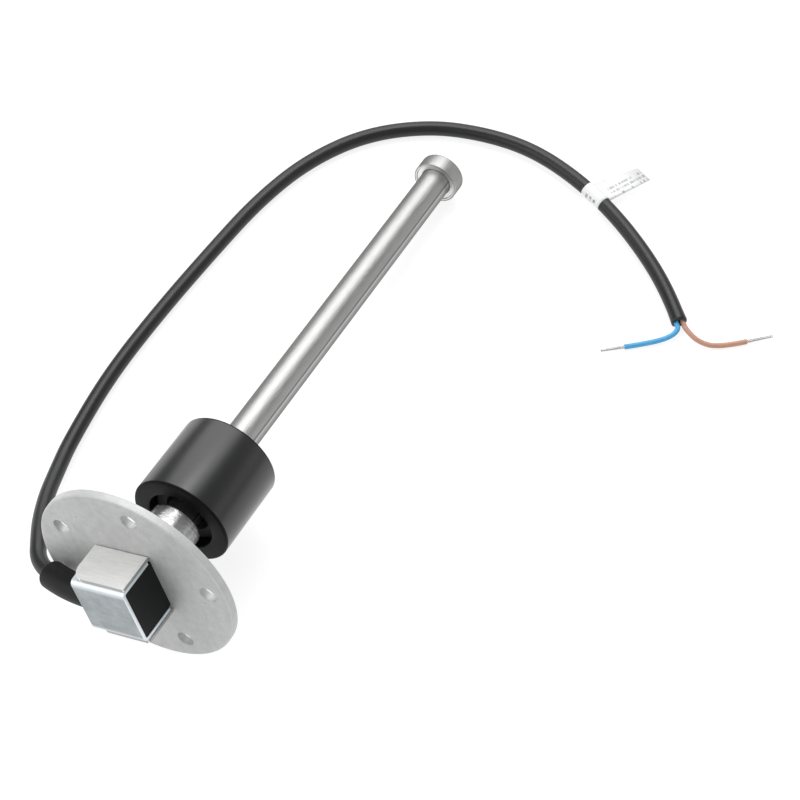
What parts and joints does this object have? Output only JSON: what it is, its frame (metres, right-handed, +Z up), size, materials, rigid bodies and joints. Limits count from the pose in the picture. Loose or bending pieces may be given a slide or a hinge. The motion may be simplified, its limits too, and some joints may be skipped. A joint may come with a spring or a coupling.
{
  "type": "fuel level sender",
  "caption": "Reed-type fuel level sender: round bolt-on flange with a potted cable head, slim steel stem and a black magnet float that slides between a collar and an end stop.",
  "frame": {"origin": "centre of the flange's tank-side face, on the stem axis", "axes": "+Z up and +X along the stem's run over the table, away from the head; the sender lies on the flange's rim and the end stop, as it comes to rest"},
  "size_m": [0.2542, 0.1934, 0.0677],
  "materials": {
    "blasted_steel": "matt blasted stainless steel",
    "drawn_tube_steel": "drawn stainless tube with a fine lengthwise grain",
    "turned_steel": "turned stainless steel, half polished",
    "bracket_sheet": "satin stainless sheet",
    "zinc_sheet": "zinc-plated sheet with a bluish cast",
    "potting": "black potting resin",
    "boot_rubber": "matt black rubber",
    "cable_sheath": "satin black cable sheath",
    "label_film": "white label film with plain grey rows",
    "blue_insulation": "light blue core insulation",
    "brown_insulation": "light brown core insulation",
    "tinned_copper": "tinned twisted strands",
    "float_rubber": "satin black nitrile foam rubber",
    "magnet_ferrite": "dark sintered ferrite",
    "board_laminate": "green circuit board laminate",
    "reed_glass": "greenish reed glass with tinned leads",
    "chip_ceramic": "black chip resistors",
    "lead_insulation": "insulated hook-up leads"
  },
  "bodies": {
    "sender": {"flange": "blasted_steel", "stem_tube": "drawn_tube_steel", "stop_collar": "turned_steel", "end_stop": "turned_steel", "head_bracket": "bracket_sheet", "head_cover": "zinc_sheet", "potting_block": "potting", "cable_boot": "boot_rubber", "cable": "cable_sheath", "cable_label": "label_film", "blue_wire": "blue_insulation", "brown_wire": "brown_insulation", "blue_strands": "tinned_copper", "brown_strands": "tinned_copper", "reed_board": "board_laminate", "reed_switches": "reed_glass", "chip_resistors": "chip_ceramic", "inner_leads": "lead_insulation"},
    "float_body": {"float": "float_rubber", "float_magnet": "magnet_ferrite"}
  },
  "joints": [
    {"name": "float_slide", "type": "slide", "parent": "sender", "child": "float_body", "axis": [0.9917, 0, -0.1286], "range_m": [-0.0059, 0.1405]}
  ]
}
